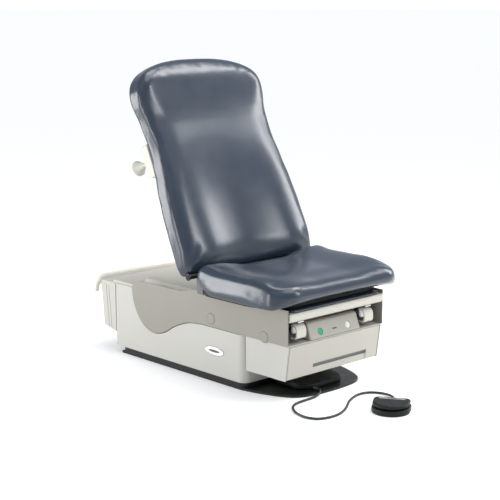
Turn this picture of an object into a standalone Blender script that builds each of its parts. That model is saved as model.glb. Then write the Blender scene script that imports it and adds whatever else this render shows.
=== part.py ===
"""Height-adjustable medical exam table, modelled at its real size.

Metres, +Z up. The foot end with the drawer faces -Y, and +X is the right side seen from the
front. The origin is on the floor, under the middle of the base cover. The table stands at its
lowest height with the backrest raised, the footrest, drawer and stirrups stowed.
"""
import math

import bmesh
import bpy
from mathutils import Matrix, Vector

# Driving dimensions ------------------------------------------------------------------------
SEAT_TOP = 0.480
SEAT_BOTTOM = 0.367
SEAT_FRONT = -0.700
SEAT_REAR = -0.1985
SEAT_HALF_WIDTH = 0.356
SEAT_CORNER = 0.120

HINGE_Y = -0.170
HINGE_Z = 0.432
BACK_ANGLE = math.radians(65.0)
BACK_START = 0.018
BOARD_START = 0.035
BACK_LENGTH = 0.912
BACK_FRONT = 0.030
BACK_REAR = -0.050
HEAD_START = 0.740
HEAD_HALF_WIDTH = 0.339

BOARD_THICKNESS = 0.0115
BOARD_INSET = 0.025

BASE_FRONT = -0.405
BASE_REAR = 0.414
BASE_HALF_WIDTH = 0.266
COVER_BOTTOM = 0.0300
COVER_TOP = 0.303
COVER_CORNER = 0.035
REAR_CORNER = 0.012
SHELL = 0.004

PLATE_HALF_WIDTH = 0.262
PLATE_REAR = 0.375
PLATE_THICKNESS = 0.010
SKIRT_TOP = 0.0295

PANEL_FRONT = -0.645
PANEL_INNER = 0.2645
PANEL_OUTER = 0.2685
PANEL_BOTTOM = 0.2258
PANEL_TOP = 0.366

ARM_LENGTH = 0.700
LOWER_PIN_Z = 0.0403
UPPER_PIN_Z = 0.1403
FIXED_PIN_Y = 0.330
ARM_REST = math.asin((UPPER_PIN_Z - LOWER_PIN_Z) / ARM_LENGTH)
ARM_HALF_HEIGHT = 0.020
PIN_RADIUS = 0.010
ROLLER_RADIUS = 0.0225
CHANNEL_WALL = 0.004
CHANNEL_HALF = 0.024
OUTER_ARM_X = (0.176, 0.184)
INNER_ARM_X = (0.158, 0.166)
BASE_RAIL_X = 0.214
UPPER_RAIL_X = 0.230
CRANK_ALONG = 0.050
CRANK_RISE = 0.085

SPRING_FOOT_Y = -0.165
SPRING_FOOT_Z = 0.285
SPRING_TILT = math.radians(60.57)
SPRING_REACH = 0.302
SPRING_ROD_LENGTH = 0.205
SPRING_HEAD = (0.170, -0.090)

FOOTREST_FRONT = -0.652
DRAWER_HALF_WIDTH = 0.2545
SLOT_X = (-0.117, 0.187)
RECESS_FLOOR = 0.2268
MODULE_HALF_WIDTH = 0.140
MODULE_SLOPE = 20.5
BUTTON_X = (-0.079, 0.076)
BUTTON_Y = -0.6330
BUTTON_Z = 0.2526
STIRRUP_X = 0.1900
STIRRUP_Z = 0.270

PEDAL_X = -0.037
PEDAL_Y = -0.9575
PEDAL_TURN = math.radians(-57.0)

CORD_RADIUS = 0.0048
GAP = 0.0003

CORD_ROUTE = (
    (-0.070, -0.6115, 0.0180),
    (-0.070, -0.6190, 0.0180),
    (-0.077, -0.6330, 0.0163),
    (-0.096, -0.6455, 0.0108),
    (-0.132, -0.6530, 0.0058),
    (-0.182, -0.6550, 0.0052),
    (-0.232, -0.6600, 0.0052),
    (-0.270, -0.6780, 0.0052),
    (-0.300, -0.7110, 0.0052),
    (-0.320, -0.7520, 0.0052),
    (-0.326, -0.8000, 0.0052),
    (-0.308, -0.8400, 0.0052),
    (-0.263, -0.8580, 0.0052),
    (-0.213, -0.8570, 0.0052),
    (-0.161, -0.8380, 0.0052),
    (-0.1135, -0.8090, 0.0052),
    (-0.070, -0.7790, 0.0052),
    (-0.011, -0.7520, 0.0052),
    (0.040, -0.7450, 0.0052),
    (0.078, -0.7620, 0.0052),
    (0.097, -0.7980, 0.0056),
    (0.096, -0.8380, 0.0070),
    (0.078, -0.8720, 0.0092),
    (0.0560, -0.8945, 0.0112),
    (0.0345, -0.9110, 0.0120),
)
CORD_SAMPLES_PER_SPAN = 3

SIDES = ((-1, "left"), (1, "right"))

COLOURS = {
    "vinyl": ((0.098, 0.130, 0.184), 0.38, 0.0),
    "ivory": ((0.680, 0.665, 0.610), 0.42, 0.0),
    "beige": ((0.465, 0.440, 0.370), 0.45, 0.0),
    "cream": ((0.610, 0.600, 0.520), 0.42, 0.0),
    "black": ((0.026, 0.030, 0.028), 0.40, 0.0),
    "frame": ((0.120, 0.125, 0.130), 0.45, 0.6),
    "steel": ((0.560, 0.570, 0.580), 0.28, 1.0),
    "rubber": ((0.018, 0.019, 0.020), 0.60, 0.0),
    "green": ((0.045, 0.320, 0.130), 0.30, 0.0),
    "pale": ((0.640, 0.640, 0.600), 0.35, 0.0),
}


# Modelling helpers -------------------------------------------------------------------------
def clear_scene():
    for item in list(bpy.data.objects):
        bpy.data.objects.remove(item, do_unlink=True)


def paint(key):
    found = bpy.data.materials.get(key)
    if found:
        return found
    colour, roughness, metallic = COLOURS[key]
    made = bpy.data.materials.new(key)
    made.use_nodes = True
    shader = made.node_tree.nodes["Principled BSDF"]
    shader.inputs["Base Color"].default_value = (*colour, 1.0)
    shader.inputs["Roughness"].default_value = roughness
    shader.inputs["Metallic"].default_value = metallic
    return made


def build(name, bm, colour):
    bmesh.ops.recalc_face_normals(bm, faces=bm.faces)
    mesh = bpy.data.meshes.new(name)
    bm.to_mesh(mesh)
    bm.free()
    item = bpy.data.objects.new(name, mesh)
    bpy.context.scene.collection.objects.link(item)
    mesh.materials.append(paint(colour))
    return item


def bake(item):
    """Replace an object's mesh by its evaluated one and shade its round stretches smooth."""
    graph = bpy.context.evaluated_depsgraph_get()
    mesh = bpy.data.meshes.new_from_object(item.evaluated_get(graph))
    item.modifiers.clear()
    item.data = mesh
    mesh.shade_smooth()
    mesh.set_sharp_from_angle(angle=math.radians(35.0))
    return item


def rounded(item, width, segments=2, angle=30.0):
    bevel = item.modifiers.new("Bevel", "BEVEL")
    bevel.width = width
    bevel.segments = segments
    bevel.limit_method = "ANGLE"
    bevel.angle_limit = math.radians(angle)
    return bake(item)


def combine(item, others, operation):
    for other in others:
        other.hide_render = True
        other.display_type = "WIRE"
        change = item.modifiers.new("Boolean", "BOOLEAN")
        change.operation = operation
        change.solver = "EXACT"
        change.object = other
    bake(item)
    for other in others:
        bpy.data.objects.remove(other, do_unlink=True)
    return item


def carve(item, *cutters):
    return combine(item, cutters, "DIFFERENCE")


def weld(item, *others):
    return combine(item, others, "UNION")


def lifted(point, axis, height):
    """Put a 2-D outline point at a height along an axis: x takes (y, z), y (x, z), z (x, y)."""
    a, b = point
    return {"x": (height, a, b), "y": (a, height, b), "z": (a, b, height)}[axis]


def prism(name, outline, axis, low, high, colour="frame"):
    bm = bmesh.new()
    corners = [bm.verts.new(lifted(point, axis, low)) for point in outline]
    base = bm.faces.new(corners)
    grown = bmesh.ops.extrude_face_region(bm, geom=[base])
    top = [v for v in grown["geom"] if isinstance(v, bmesh.types.BMVert)]
    shift = Vector(lifted((0.0, 0.0), axis, high - low))
    bmesh.ops.translate(bm, verts=top, vec=shift)
    return build(name, bm, colour)


def block(name, low, high, colour="frame"):
    outline = ((low[0], low[1]), (high[0], low[1]), (high[0], high[1]), (low[0], high[1]))
    return prism(name, outline, "z", low[2], high[2], colour)


def arc(centre, radius, start, end, steps):
    points = []
    for i in range(steps + 1):
        angle = math.radians(start + (end - start) * i / steps)
        points.append((centre[0] + radius * math.cos(angle), centre[1] + radius * math.sin(angle)))
    return points


def round_rect(low, high, radius, steps=5):
    """Rounded rectangle; radius is one value, or (rear, front) for the +Y and -Y corners."""
    rear, front = radius if isinstance(radius, tuple) else (radius, radius)
    points = arc((high[0] - rear, high[1] - rear), rear, 0, 90, steps)
    points += arc((low[0] + rear, high[1] - rear), rear, 90, 180, steps)
    points += arc((low[0] + front, low[1] + front), front, 180, 270, steps)
    points += arc((high[0] - front, low[1] + front), front, 270, 360, steps)
    return points


def rod(name, start, end, radius, colour="steel", sides=12):
    start = Vector(start)
    line = Vector(end) - start
    bm = bmesh.new()
    bmesh.ops.create_cone(bm, cap_ends=True, segments=sides, radius1=radius, radius2=radius,
                          depth=line.length)
    turn = line.to_track_quat("Z", "Y").to_matrix().to_4x4()
    place = Matrix.Translation(start + line / 2) @ turn
    bmesh.ops.transform(bm, matrix=place, verts=bm.verts)
    return build(name, bm, colour)


def turned(name, profile, place, colour, sides=18):
    """Turn (radius, height) points about Z; the first and last points lie on the axis."""
    bm = bmesh.new()
    bottom = bm.verts.new((0.0, 0.0, profile[0][1]))
    top = bm.verts.new((0.0, 0.0, profile[-1][1]))
    rings = []
    for radius, height in profile[1:-1]:
        ring = []
        for i in range(sides):
            angle = 2 * math.pi * i / sides
            ring.append(bm.verts.new((radius * math.cos(angle), radius * math.sin(angle), height)))
        rings.append(ring)
    for i in range(sides):
        j = (i + 1) % sides
        bm.faces.new((bottom, rings[0][j], rings[0][i]))
        bm.faces.new((top, rings[-1][i], rings[-1][j]))
        for lower, upper in zip(rings, rings[1:]):
            bm.faces.new((lower[i], lower[j], upper[j], upper[i]))
    bmesh.ops.transform(bm, matrix=place, verts=bm.verts)
    return bake(build(name, bm, colour))


def spline_points(keys, steps):
    """Catmull-Rom curve through key points of any dimension."""
    keys = [Vector(key) for key in keys]
    padded = [2 * keys[0] - keys[1]] + keys + [2 * keys[-1] - keys[-2]]
    points = []
    for a, b, c, d in zip(padded, padded[1:], padded[2:], padded[3:]):
        for i in range(steps):
            t = i / steps
            points.append(0.5 * (2 * b + (c - a) * t + (2 * a - 5 * b + 4 * c - d) * t ** 2
                                 + (3 * b - a - 3 * c + d) * t ** 3))
    points.append(keys[-1])
    return points


def pose_matrix(origin, angle):
    return Matrix.Translation(Vector(origin)) @ Matrix.Rotation(angle, 4, "X")


def moved(item, matrix):
    item.data.transform(matrix)
    return item


class Body:
    """An empty on a joint's axis, which carries the pieces that move with it."""

    def __init__(self, name, pivot, parent=None):
        self.pivot = Vector(pivot)
        self.empty = bpy.data.objects.new(name, None)
        bpy.context.scene.collection.objects.link(self.empty)
        self.empty.location = self.pivot
        if parent:
            self.empty.parent = parent.empty
            self.empty.location = self.pivot - parent.pivot

    def hold(self, *items):
        for item in items:
            moved(item, Matrix.Translation(-self.pivot))
            item.parent = self.empty


# Outlines ----------------------------------------------------------------------------------
WAVE_KEYS = (
    (-0.150, 0.2258), (-0.072, 0.2166), (0.011, 0.1866), (0.076, 0.1495), (0.140, 0.1330),
    (0.205, 0.1480), (0.252, 0.1880), (0.282, 0.2430), (0.293, 0.3000),
)
PANEL_TOP_KEYS = (
    (0.238, 0.3400), (0.010, 0.3400), (-0.050, 0.3445), (-0.110, 0.3585), (-0.165, 0.3660),
)


TONGUE_KEYS = (
    (0.262, -0.380), (0.247, -0.450), (0.228, -0.510), (0.206, -0.560), (0.178, -0.599),
    (0.135, -0.621), (0.070, -0.631), (0.000, -0.634),
)


def side_panel_outline():
    wave = [tuple(point) for point in spline_points(WAVE_KEYS, 4)]
    crest = [tuple(point) for point in spline_points(PANEL_TOP_KEYS, 3)]
    return ([(PANEL_FRONT, PANEL_TOP), (PANEL_FRONT, PANEL_BOTTOM)] + wave
            + [(0.284, 0.3230)] + crest)


def cover_cut_outline():
    """The base cover's top edge: it follows the side panel's lower edge, a shadow gap away."""
    margin = 0.003
    wave = spline_points(WAVE_KEYS, 4)
    offset = []
    for i, point in enumerate(wave):
        before = wave[max(i - 1, 0)]
        after = wave[min(i + 1, len(wave) - 1)]
        along = (after - before).normalized()
        offset.append((point.x + along.y * margin, point.y - along.x * margin))
    beyond = 0.5
    return ([(-beyond, COVER_TOP + beyond), (-beyond, PANEL_BOTTOM - margin)] + offset
            + [(offset[-1][0], COVER_TOP + beyond)])


def back_half_width(s):
    keys = ((0.000, 0.350), (0.040, 0.361), (0.140, 0.360), (0.240, 0.358), (0.340, 0.349),
            (0.440, 0.334), (0.540, 0.319), (0.640, 0.325), (0.740, 0.339))
    for (s0, w0), (s1, w1) in zip(keys, keys[1:]):
        if s <= s1:
            t = (s - s0) / (s1 - s0)
            blend = t * t * (3 - 2 * t)
            return w0 + (w1 - w0) * blend
    return HEAD_HALF_WIDTH


def back_outline(inset=0.0, start=BACK_START):
    """Half-width along the backrest, closed over the head by a superellipse."""
    stations = [start + (HEAD_START - start) * i / 14 for i in range(15)]
    half = [(back_half_width(s) - inset, s) for s in stations]
    reach = BACK_LENGTH - inset - HEAD_START
    for i in range(1, 9):
        angle = math.pi / 2 * i / 8
        width = (HEAD_HALF_WIDTH - inset) * math.cos(angle) ** (2 / 2.4)
        half.append((max(width, 0.0), HEAD_START + reach * math.sin(angle) ** (2 / 2.4)))
    right = half[:-1]
    crown = [(0.0, BACK_LENGTH - inset)]
    left = [(-x, s) for x, s in reversed(right)]
    return right + crown + left


def tongue_outline():
    flank = [(point.x, point.y) for point in spline_points(TONGUE_KEYS, 3)]
    left = [(-x, y) for x, y in flank]
    return [(-PLATE_HALF_WIDTH, PLATE_REAR)] + left + flank[-2::-1] + [(PLATE_HALF_WIDTH, PLATE_REAR)]


# Base --------------------------------------------------------------------------------------
def make_base_plate():
    plate = prism("base_plate", tongue_outline(), "z", 0.0, PLATE_THICKNESS, "black")
    low = (-PLATE_HALF_WIDTH, -0.400)
    high = (PLATE_HALF_WIDTH, PLATE_REAR)
    skirt = prism("skirt", round_rect(low, high, 0.030), "z", 0.002, SKIRT_TOP, "black")
    wall = 0.0165
    inside_low = (low[0] + wall, low[1] + wall)
    inside_high = (high[0] - wall, high[1] - wall)
    well = prism("well", round_rect(inside_low, inside_high, 0.012), "z", PLATE_THICKNESS, 0.1)
    carve(skirt, well)
    return rounded(weld(plate, skirt), 0.0015, 1)


def make_base_channels():
    made = []
    for side, label in SIDES:
        inner = side * (BASE_RAIL_X - 0.030)
        outer = side * (BASE_RAIL_X + 0.004)
        x0, x1 = sorted((inner, outer))
        low_z = LOWER_PIN_Z - CHANNEL_HALF - CHANNEL_WALL
        high_z = LOWER_PIN_Z + CHANNEL_HALF + CHANNEL_WALL
        channel = block("base_channel_" + label, (x0, -0.372, low_z), (x1, 0.357, high_z))
        hollow_x = sorted((inner - side * 0.010, side * BASE_RAIL_X))
        hollow = block("hollow", (hollow_x[0], -0.38, LOWER_PIN_Z - CHANNEL_HALF),
                       (hollow_x[1], 0.37, LOWER_PIN_Z + CHANNEL_HALF))
        made.append(carve(channel, hollow))
    return made


def make_base_cover():
    low = (-BASE_HALF_WIDTH, BASE_FRONT)
    high = (BASE_HALF_WIDTH, BASE_REAR)
    cover = prism("base_cover", round_rect(low, high, (REAR_CORNER, COVER_CORNER), 6), "z",
                  COVER_BOTTOM, COVER_TOP, "ivory")
    inside = prism("inside", round_rect((low[0] + SHELL, low[1] + SHELL),
                                        (high[0] - SHELL, high[1] - SHELL),
                                        (REAR_CORNER - SHELL, COVER_CORNER - SHELL), 6),
                   "z", 0.0, 0.4)
    wave = prism("wave", cover_cut_outline(), "x", -0.4, 0.4)
    inlet = block("inlet", (-0.0255, BASE_REAR - 0.015, 0.0425), (0.0255, BASE_REAR + 0.015, 0.0695))
    return carve(cover, inside, wave, inlet)


def make_power_inlet():
    y = BASE_REAR
    inlet = block("power_inlet", (-0.0252, y - 0.030, 0.0428), (0.0252, y + 0.001, 0.0692), "black")
    flange = block("flange", (-0.032, y + GAP, 0.0385), (0.032, y + 0.0035, 0.0735))
    weld(inlet, flange)
    socket = block("socket", (-0.0125, y - 0.018, 0.0475), (0.0125, y + 0.01, 0.0645))
    carve(inlet, socket)
    pins = []
    for x, z in ((-0.007, 0.0535), (0.0, 0.0585), (0.007, 0.0535)):
        pins.append(block("pin", (x - 0.001, y - 0.022, z - 0.002), (x + 0.001, y - 0.006, z + 0.002)))
    return weld(inlet, *pins)


def make_control_box():
    box = block("control_box", (-0.120, 0.060, PLATE_THICKNESS + GAP), (0.120, 0.290, 0.072))
    return rounded(box, 0.004, 2)


def make_foot_cover():
    """The raised black cover on the tongue, where the foot control's cord comes out."""
    outline = round_rect((-0.121, -0.592), (0.121, -0.412), (0.020, 0.060), 6)
    cover = prism("front_foot_cover", outline, "z", PLATE_THICKNESS + GAP, 0.032, "black")
    return rounded(cover, 0.006, 2, 50)


def make_lift_motor():
    z = crank_pin_height()
    tube = rod("lift_motor", (0.0, -0.100, z), (0.0, 0.190, z), 0.022, "steel", 16)
    gearbox = block("gearbox", (-0.032, -0.175, z - 0.032), (0.032, -0.080, z + 0.026))
    motor = rod("motor", (0.052, -0.170, z - 0.006), (0.052, -0.050, z - 0.006), 0.026)
    weld(tube, gearbox, motor)
    foot = block("foot", (-0.020, -0.165, PLATE_THICKNESS + GAP), (0.020, -0.140, z - 0.020))
    weld(tube, foot)
    bore = rod("bore", (0.0, -0.040, z), (0.0, 0.200, z), 0.0125, "steel", 16)
    return carve(tube, bore)


def crank_pin_height():
    """Mean height of the crank pin over the lift's travel."""
    return LOWER_PIN_Z + 0.0942


def crank_pin(angle):
    along = (-math.cos(angle), math.sin(angle))
    up = (math.sin(angle), math.cos(angle))
    return (FIXED_PIN_Y + CRANK_ALONG * along[0] + CRANK_RISE * up[0],
            LOWER_PIN_Z + CRANK_ALONG * along[1] + CRANK_RISE * up[1])


def make_lift_rod():
    z = crank_pin_height()
    y = crank_pin(ARM_REST)[0]
    shaft = rod("lift_rod", (0.0, -0.020, z), (0.0, y - 0.022, z), 0.0115, "steel", 16)
    eye = rod("eye", (-0.008, y, z), (0.008, y, z), 0.026, "steel", 16)
    weld(shaft, eye)
    hole = rod("hole", (-0.02, y, z), (0.02, y, z), 0.0165, "steel", 16)
    return carve(shaft, hole)


# Scissor lift ------------------------------------------------------------------------------
def scissor_arm(name, x0, x1, start, end, centre_radius):
    """A flat bar with round ends between two pins, with a bore at each pin and at its centre."""
    line = Vector((end[0] - start[0], end[1] - start[1]))
    angle = math.degrees(math.atan2(line.y, line.x))
    outline = arc(start, ARM_HALF_HEIGHT, angle + 90, angle + 270, 8)
    outline += arc(end, ARM_HALF_HEIGHT, angle - 90, angle + 90, 8)
    arm = prism(name, outline, "x", x0, x1, "frame")
    middle = ((start[0] + end[0]) / 2, (start[1] + end[1]) / 2)
    cutters = []
    for (y, z), radius in ((start, PIN_RADIUS + GAP), (end, PIN_RADIUS + GAP),
                           (middle, centre_radius)):
        if radius:
            cutters.append(rod("bore", (x0 - 0.01, y, z), (x1 + 0.01, y, z), radius, "steel", 16))
    return carve(arm, *cutters)


def make_scissor():
    run = ARM_LENGTH * math.cos(ARM_REST)
    base_fixed = (FIXED_PIN_Y, LOWER_PIN_Z)
    base_roller = (FIXED_PIN_Y - run, LOWER_PIN_Z)
    top_fixed = (FIXED_PIN_Y, UPPER_PIN_Z)
    top_roller = (FIXED_PIN_Y - run, UPPER_PIN_Z)
    middle_y = FIXED_PIN_Y - run / 2
    middle_z = (LOWER_PIN_Z + UPPER_PIN_Z) / 2
    outer = []
    inner = []
    for side, label in SIDES:
        x0, x1 = sorted((side * OUTER_ARM_X[0], side * OUTER_ARM_X[1]))
        outer.append(scissor_arm("outer_arm_" + label, x0, x1, base_fixed, top_roller, 0.0083))
        x0, x1 = sorted((side * INNER_ARM_X[0], side * INNER_ARM_X[1]))
        arm = scissor_arm("inner_arm_" + label, x0, x1, top_fixed, base_roller, None)
        stub = rod("stub", (side * 0.162, middle_y, middle_z), (side * 0.186, middle_y, middle_z), 0.008)
        inner.append(weld(arm, stub))
    crank = make_crank_axle(base_fixed)
    top_axle = roller_axle("upper_roller_axle", top_roller, UPPER_RAIL_X - 0.004)
    low_axle = roller_axle("lower_roller_axle", base_roller, BASE_RAIL_X - 0.002)
    pivot = rod("upper_pivot_axle", (-0.2275, *top_fixed), (0.2275, *top_fixed), PIN_RADIUS)
    return outer, inner, crank, top_axle, low_axle, bake(pivot)


def roller_axle(name, point, reach):
    axle = rod(name, (-reach, *point), (reach, *point), PIN_RADIUS)
    rollers = []
    for side in (-1, 1):
        rollers.append(rod("roller", (side * (reach - 0.020), *point), (side * (reach - 0.001), *point),
                           ROLLER_RADIUS, "steel", 16))
    return weld(axle, *rollers)


def make_crank_axle(fixed):
    axle = rod("crank_axle", (-0.211, *fixed), (0.211, *fixed), PIN_RADIUS)
    pin = crank_pin(ARM_REST)
    line = Vector((pin[0] - fixed[0], pin[1] - fixed[1]))
    angle = math.degrees(math.atan2(line.y, line.x))
    cheeks = []
    for x in (-0.018, 0.012):
        outline = arc(fixed, 0.017, angle + 90, angle + 270, 6)
        outline += arc(pin, 0.012, angle - 90, angle + 90, 6)
        cheeks.append(prism("cheek", outline, "x", x, x + 0.006))
    cheeks.append(rod("crank_pin", (-0.015, *pin), (0.015, *pin), 0.006))
    return weld(axle, *cheeks)


# Upper frame -------------------------------------------------------------------------------
def make_upper_rails():
    made = []
    for side, label in SIDES:
        def slab(x_low, x_high, y0, y1, z0, z1):
            x0, x1 = sorted((side * x_low, side * x_high))
            return block("slab", (x0, y0, z0), (x1, y1, z1))
        low_z = UPPER_PIN_Z - CHANNEL_HALF - CHANNEL_WALL
        high_z = UPPER_PIN_Z + CHANNEL_HALF + CHANNEL_WALL
        rail = slab(0.228, 0.232, -0.385, 0.372, low_z, 0.302)
        rail.name = "upper_rail_" + label
        lower_flange = slab(0.200, 0.230, -0.385, 0.372, low_z, low_z + CHANNEL_WALL)
        upper_flange = slab(0.200, 0.230, -0.385, 0.372, high_z - CHANNEL_WALL, high_z)
        nose = slab(0.2282, 0.2318, -0.600, -0.175, 0.240, 0.336)
        shelf = slab(0.2284, 0.2630, -0.600, -0.175, 0.331, 0.3365)
        lip = slab(0.2580, 0.2632, -0.600, -0.175, 0.332, 0.3660)
        weld(rail, lower_flange, upper_flange)
        weld(rail, nose)
        weld(rail, shelf)
        weld(rail, lip)
        bore = rod("bore", (side * 0.22, FIXED_PIN_Y, UPPER_PIN_Z), (side * 0.24, FIXED_PIN_Y, UPPER_PIN_Z),
                   PIN_RADIUS + GAP)
        made.append(carve(rail, bore))
    return made


def make_crossmembers():
    reach = 0.2276
    front = block("crossmember_front", (-reach, -0.400, 0.290), (reach, -0.360, 0.322))
    middle = block("crossmember_middle", (-reach, -0.141, 0.243), (reach, -0.109, 0.265))
    for side in (-1, 1):
        x0, x1 = sorted((side * 0.016, side * 0.022))
        outline = [(-0.141, 0.248), (-0.115, 0.248), (-0.115, 0.275)]
        outline += arc((SPRING_FOOT_Y, SPRING_FOOT_Z), 0.014, 60, 230, 6)
        ear = prism("ear", outline, "x", x0, x1)
        foot = (SPRING_FOOT_Y, SPRING_FOOT_Z)
        stub = rod("stub", (side * 0.0125, *foot), (side * 0.0190, *foot), 0.006)
        weld(middle, ear, stub)
    rear = block("crossmember_rear", (-reach, 0.300, 0.250), (reach, 0.345, 0.290))
    return front, middle, rear


def make_deck_tray():
    tray = block("deck_tray", (-0.2620, -0.085, 0.3035), (0.2620, 0.430, 0.3090), "beige")
    parts = []
    for side in (-1, 1):
        x0, x1 = sorted((side * 0.2570, side * 0.2622))
        outline = [(-0.0845, 0.305), (0.4295, 0.305), (0.4295, 0.3155), (0.295, 0.3155),
                   (0.285, 0.3180), (0.262, 0.3330), (0.238, 0.3370), (-0.0845, 0.3370)]
        parts.append(prism("lip", outline, "x", x0, x1))
        x0, x1 = sorted((side * 0.120, side * 0.196))
        outline = [(x0, 0.305), (x1, 0.305), (x1 - 0.012, 0.3300), (x0 + 0.012, 0.3300)]
        parts.append(prism("rib", outline, "y", -0.070, 0.300))
    for part in parts:
        weld(tray, part)
    notch = block("notch", (-0.030, -0.100, 0.290), (0.030, -0.030, 0.350))
    return carve(tray, notch)


def make_seat_board():
    low = (-SEAT_HALF_WIDTH + BOARD_INSET, SEAT_FRONT + 0.075)
    high = (SEAT_HALF_WIDTH - BOARD_INSET, SEAT_REAR - 0.0005)
    board = prism("seat_board", round_rect(low, high, (0.075, 0.150), 7), "z", PANEL_TOP + GAP,
                  PANEL_TOP + GAP + BOARD_THICKNESS, "black")
    return board


def make_seat_cushion():
    outline = round_rect((-SEAT_HALF_WIDTH, SEAT_FRONT), (SEAT_HALF_WIDTH, SEAT_REAR),
                         (0.045, SEAT_CORNER), 8)
    cushion = prism("seat_cushion", outline, "z", SEAT_BOTTOM, SEAT_TOP, "vinyl")
    rounded(cushion, 0.028, 2, 50)
    low = (-SEAT_HALF_WIDTH + BOARD_INSET - 0.001, SEAT_FRONT + 0.074)
    high = (SEAT_HALF_WIDTH - BOARD_INSET + 0.001, -0.190)
    pocket = prism("pocket", round_rect(low, high, (0.075, 0.151), 7), "z", 0.3,
                   PANEL_TOP + BOARD_THICKNESS + 0.001)
    return carve(cushion, pocket)


def make_side_panels():
    made = []
    for side, label in SIDES:
        x0, x1 = sorted((side * PANEL_INNER, side * PANEL_OUTER))
        made.append(bake(prism("side_panel_" + label, side_panel_outline(), "x", x0, x1, "beige")))
    return made


def make_rear_cover():
    low = (-0.262, 0.300)
    high = (0.262, 0.5275)
    bottom = 0.083
    top = 0.3030
    cover = prism("rear_cover", round_rect(low, high, (0.015, 0.010), 5), "z", bottom, top, "cream")
    rounded(cover, 0.010, 2, 60)
    inside = prism("inside", round_rect((low[0] + SHELL, low[1] - 0.05), (high[0] - SHELL, high[1] - SHELL),
                                        (0.011, 0.010), 5), "z", bottom - 0.05, top - SHELL)
    front = block("front", (-0.3, 0.2, 0.0), (0.3, BASE_REAR + 0.0025, 0.4))
    grooves = []
    for side in (-1, 1):
        x0, x1 = sorted((side * 0.2605, side * 0.2700))
        for y in (0.4620, 0.4790):
            outline = [(y, 0.286), (y, 0.050), (y + 0.0035, 0.050), (y + 0.0035, 0.286)]
            grooves.append(prism("groove", outline, "x", x0, x1))
    carve(cover, inside, front, *grooves)
    for vertex in cover.data.vertices:
        drop = (top - vertex.co.z) / (top - bottom)
        if vertex.co.y > 0.43:
            rise = (vertex.co.y - 0.43) / (high[1] - 0.43)
            vertex.co.z += 0.018 * rise * drop ** 2
            vertex.co.y -= 0.020 * drop ** 2
    return cover


def make_rear_rim():
    """A rounded bumper bar whose ends curl down beside the rear cover."""
    half = 0.272
    bend = 0.045
    z = 0.3045
    drop = 0.2480
    right = arc((half - bend, z - bend), bend, 90, 0, 6)
    path = [(half, drop), ] + list(reversed(right))
    path += [(-x, zz) for x, zz in right] + [(-half, drop)]
    section = round_rect((-0.0125, -0.0120), (0.0125, 0.0120), 0.008, 3)
    bm = bmesh.new()
    rings = []
    for i, (x, height) in enumerate(path):
        before = Vector(path[max(i - 1, 0)])
        after = Vector(path[min(i + 1, len(path) - 1)])
        along = (after - before).normalized()
        outward = Vector((along.y, -along.x))
        thickness = 1.0 + 0.5 * max(outward.y, 0.0) ** 2
        ring = []
        for a, b in section:
            centre = Vector((x, height)) + outward * b * thickness
            ring.append(bm.verts.new((centre.x, 0.5425 + a, centre.y)))
        rings.append(ring)
    count = len(section)
    for first, second in zip(rings, rings[1:]):
        for i in range(count):
            j = (i + 1) % count
            bm.faces.new((first[i], first[j], second[j], second[i]))
    bm.faces.new(rings[0])
    bm.faces.new(list(reversed(rings[-1])))
    return bake(build("rear_rim", bm, "cream"))


def make_drawer_housing():
    outline = [(-0.4100, 0.0870), (-0.6250, 0.0870), (-0.6435, 0.2230), (-0.6435, RECESS_FLOOR),
               (-0.4100, RECESS_FLOOR)]
    housing = prism("drawer_housing", outline, "x", -0.2615, 0.2615, "ivory")
    inside = block("inside", (-0.2575, -0.7000, 0.0905), (0.2575, -0.4140, 0.2232))
    mouth = block("mouth", (-0.2574, -0.7000, 0.0500), (0.2574, -0.6115, 0.2000))
    return carve(housing, inside, mouth)


def button_frame(x):
    """A point on the control module's sloping face, and the outward direction there."""
    slope = math.radians(MODULE_SLOPE)
    outward = Vector((0.0, -math.cos(slope), math.sin(slope)))
    return Vector((x, BUTTON_Y, BUTTON_Z)), outward


def make_control_module():
    outline = [(-0.6425, RECESS_FLOOR + GAP), (-0.6190, 0.2900), (-0.6080, 0.2950), (-0.5650, 0.2950),
               (-0.5650, RECESS_FLOOR + GAP)]
    module = prism("control_module", outline, "x", -MODULE_HALF_WIDTH, MODULE_HALF_WIDTH, "cream")
    rounded(module, 0.005, 2, 40)
    wells = []
    for x in BUTTON_X:
        face, outward = button_frame(x)
        wells.append(rod("well", face - outward * 0.0150, face + outward * 0.0200, 0.0145, "steel", 16))
    return carve(module, *wells)


def make_stirrup_guides():
    made = []
    for side, label in SIDES:
        x = side * STIRRUP_X
        guide = rod("stirrup_guide_" + label, (x, -0.550, STIRRUP_Z), (x, -0.205, STIRRUP_Z),
                    0.0155, "steel", 16)
        bore = rod("bore", (x, -0.600, STIRRUP_Z), (x, -0.210, STIRRUP_Z), 0.0108, "steel", 16)
        made.append(carve(guide, bore))
    return made


def make_hinge_brackets():
    made = []
    for side, label in SIDES:
        x0, x1 = sorted((side * 0.285, side * 0.293))
        outline = [(-0.1940, 0.3560), (-0.1600, 0.3560)]
        outline += arc((HINGE_Y, HINGE_Z), 0.0165, -10, 190, 10)
        outline += [(-0.1940, 0.4100)]
        plate = prism("hinge_bracket_" + label, outline, "x", x0, x1)
        bore = rod("bore", (side * 0.28, HINGE_Y, HINGE_Z), (side * 0.30, HINGE_Y, HINGE_Z),
                   0.0113, "steel", 16)
        made.append(carve(plate, bore))
    return made


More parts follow.
